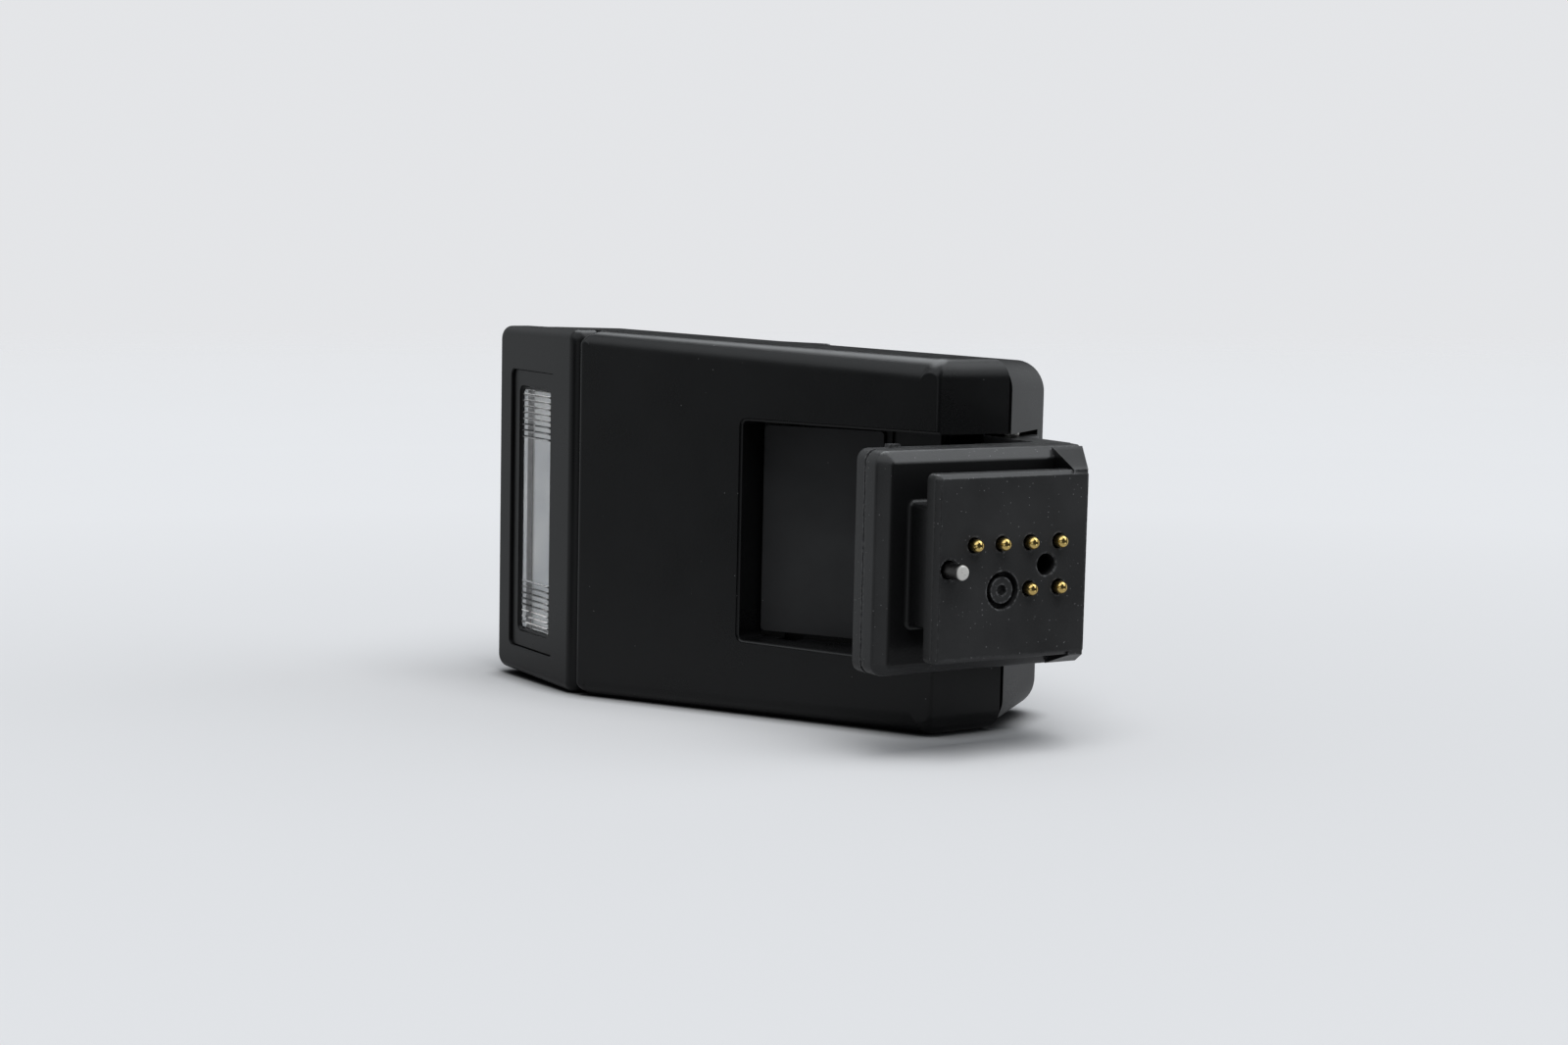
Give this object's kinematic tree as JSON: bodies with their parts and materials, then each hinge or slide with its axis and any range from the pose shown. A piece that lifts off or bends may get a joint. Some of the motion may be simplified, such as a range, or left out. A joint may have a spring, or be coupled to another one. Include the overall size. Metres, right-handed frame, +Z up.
{
  "type": "fold-out-foot camera flash trigger",
  "caption": "Pocket camera flash and wireless trigger with an angled flash head, a foot that folds out of a recess, sprung contacts, a back display and a dial.",
  "frame": {"origin": "middle of the bounding box on the surface it lies on", "axes": "+X along the big face towards the hinge end, +Y from the big face to the back, +Z up from the lower side it lies on"},
  "size_m": [0.0816, 0.0356, 0.0413],
  "materials": {
    "moulded_black": "satin moulded black plastic",
    "shell_black": "satin black plastic",
    "bezel_black": "satin black plastic",
    "foot_black": "fine spark-textured black plastic",
    "label_grey": "matt dark insert",
    "clear_window": "clear ribbed plastic",
    "bright_reflector": "polished aluminium",
    "nickel": "nickel plate",
    "gold": "gold plate",
    "brass": "plain brass",
    "circuit_board": "green solder mask",
    "dark_glass": "dark display glass",
    "capacitor_sleeve": "shrink sleeve",
    "ferrite": "moulded winding",
    "cell_foil": "foil pouch",
    "tinned_steel": "tinned steel",
    "key_black": "matt black plastic"
  },
  "bodies": {
    "body": {"battery_cell": "cell_foil", "charge_transformer": "ferrite", "dial_encoder": "tinned_steel", "display_module": "dark_glass", "display_window": "dark_glass", "flash_tube": "clear_window", "flash_window": "clear_window", "front_housing": "moulded_black", "hinge_pin": "nickel", "housing_screw_1": "nickel", "housing_screw_2": "nickel", "label_panel": "label_grey", "lens_bezel": "bezel_black", "lower_electrode": "nickel", "main_board": "circuit_board", "main_capacitor": "capacitor_sleeve", "menu_switch": "tinned_steel", "radio_module": "tinned_steel", "rear_shell": "shell_black", "reflector": "bright_reflector", "test_switch": "tinned_steel", "trigger_coil": "ferrite", "upper_electrode": "nickel", "usb_socket": "tinned_steel", "window_frame": "moulded_black"},
    "foot": {"contact_barrel_1": "brass", "contact_barrel_2": "brass", "contact_barrel_3": "brass", "contact_barrel_4": "brass", "contact_barrel_5": "brass", "contact_barrel_6": "brass", "foot_arm": "foot_black", "foot_board": "circuit_board", "foot_screw_1": "nickel", "foot_screw_2": "nickel", "foot_screw_3": "nickel", "foot_screw_4": "nickel", "shoe_base": "foot_black"},
    "contact_pin_1": {"contact_pin_1": "gold"},
    "contact_pin_2": {"contact_pin_2": "gold"},
    "contact_pin_3": {"contact_pin_3": "gold"},
    "contact_pin_4": {"contact_pin_4": "gold"},
    "contact_pin_5": {"contact_pin_5": "gold"},
    "contact_pin_6": {"contact_pin_6": "gold"},
    "lock_pin": {"lock_pin": "nickel"},
    "control_dial": {"control_dial": "key_black"},
    "dial_button": {"dial_button": "key_black"},
    "menu_button": {"menu_button": "key_black"},
    "test_button": {"test_button": "key_black"}
  },
  "joints": [
    {"name": "foot_hinge", "type": "hinge", "parent": "body", "child": "foot", "pos_m": [0.02551, 0.01022, 0.01957], "axis": [0.0225, 0, 0.9997], "range_deg": [-61, 0]},
    {"name": "lock_pin_travel", "type": "slide", "parent": "foot", "child": "lock_pin", "axis": [-0.9058, 0.4233, 0.0204], "range_m": [0, 0.002], "stiffness_N_per_m": 300, "springref_m": -0.001},
    {"name": "contact_pin_1_travel", "type": "slide", "parent": "foot", "child": "contact_pin_1", "axis": [-0.9058, 0.4233, 0.0204], "range_m": [0, 0.0011], "stiffness_N_per_m": 300, "springref_m": -0.0005},
    {"name": "contact_pin_2_travel", "type": "slide", "parent": "foot", "child": "contact_pin_2", "axis": [-0.9058, 0.4233, 0.0204], "range_m": [0, 0.0011], "stiffness_N_per_m": 300, "springref_m": -0.0005},
    {"name": "contact_pin_3_travel", "type": "slide", "parent": "foot", "child": "contact_pin_3", "axis": [-0.9058, 0.4233, 0.0204], "range_m": [0, 0.0011], "stiffness_N_per_m": 300, "springref_m": -0.0005},
    {"name": "contact_pin_4_travel", "type": "slide", "parent": "foot", "child": "contact_pin_4", "axis": [-0.9058, 0.4233, 0.0204], "range_m": [0, 0.0011], "stiffness_N_per_m": 300, "springref_m": -0.0005},
    {"name": "contact_pin_5_travel", "type": "slide", "parent": "foot", "child": "contact_pin_5", "axis": [-0.9058, 0.4233, 0.0204], "range_m": [0, 0.0011], "stiffness_N_per_m": 300, "springref_m": -0.0005},
    {"name": "contact_pin_6_travel", "type": "slide", "parent": "foot", "child": "contact_pin_6", "axis": [-0.9058, 0.4233, 0.0204], "range_m": [0, 0.0011], "stiffness_N_per_m": 300, "springref_m": -0.0005},
    {"name": "dial_turn", "type": "hinge", "parent": "body", "child": "control_dial", "pos_m": [0.0132, 0.01658, 0.01984], "axis": [0, 1, 0], "continuous": true},
    {"name": "dial_button_press", "type": "slide", "parent": "body", "child": "dial_button", "axis": [0, -1, 0], "range_m": [0, 0.0004], "stiffness_N_per_m": 600, "springref_m": -0.0005},
    {"name": "menu_button_press", "type": "slide", "parent": "body", "child": "menu_button", "axis": [0, -1, 0], "range_m": [0, 0.0004], "stiffness_N_per_m": 600, "springref_m": -0.0005},
    {"name": "test_button_press", "type": "slide", "parent": "body", "child": "test_button", "axis": [0, -1, 0], "range_m": [0, 0.0004], "stiffness_N_per_m": 600, "springref_m": -0.0005}
  ]
}
